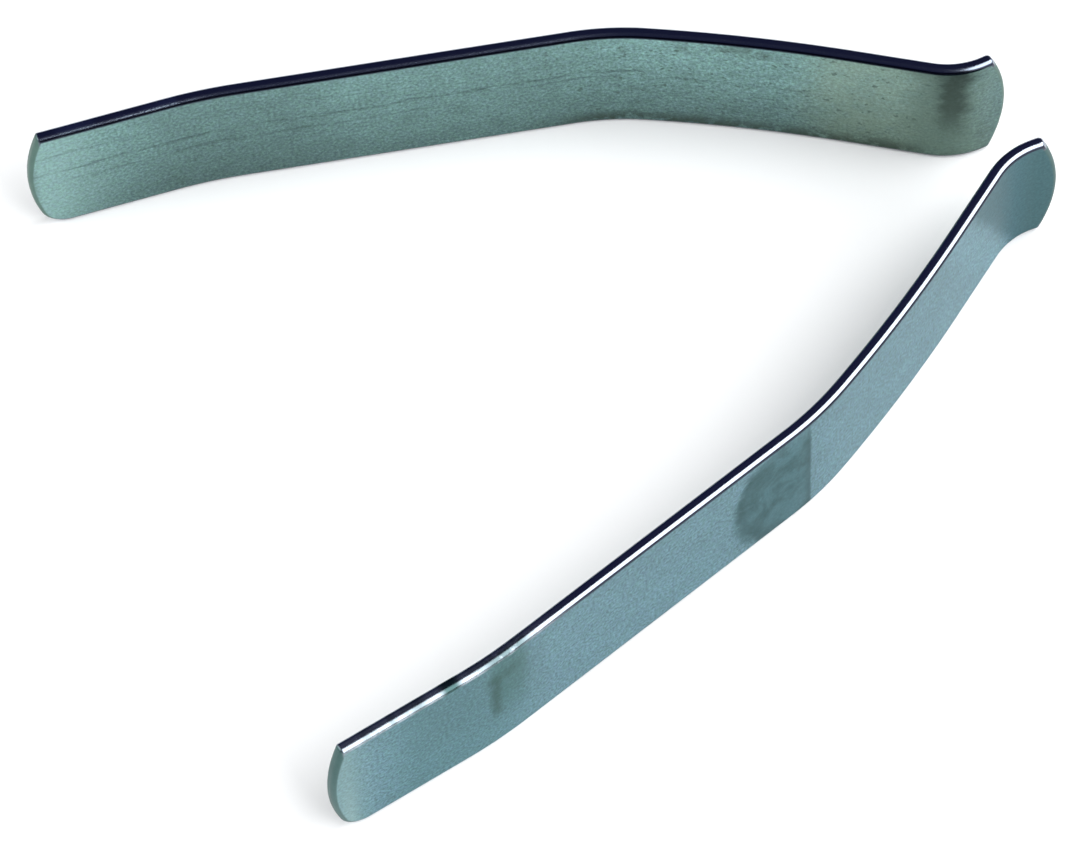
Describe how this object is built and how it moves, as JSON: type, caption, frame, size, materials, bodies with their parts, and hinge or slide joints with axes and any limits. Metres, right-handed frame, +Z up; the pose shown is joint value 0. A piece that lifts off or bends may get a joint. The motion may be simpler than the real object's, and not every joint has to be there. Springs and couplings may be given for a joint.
{
  "type": "cheek retractor",
  "caption": "Left and right pair of hand-held dental cheek retractors: flat bent steel strips, each with a rounded handle end, a main bend and a short lip turned back.",
  "frame": {"origin": "middle of the pair's footprint, on the surface that the strips stand on", "axes": "+X from the handle ends towards the lips, +Y from the front retractor towards the rear one, +Z up across the strips' width"},
  "size_m": [0.1479, 0.1169, 0.022],
  "materials": {
    "rear_steel": "satin, with faint lengthwise grain and polished edges",
    "front_steel": "satin, with faint lengthwise grain and polished edges"
  },
  "bodies": {
    "rear_retractor": {"rear_retractor": "rear_steel"},
    "front_retractor": {"front_retractor": "front_steel"}
  },
  "joints": [
    {"name": "front_retractor_lift", "type": "slide", "parent": "rear_retractor", "child": "front_retractor", "axis": [0, 0, 1], "range_m": [0, 0.06]}
  ]
}
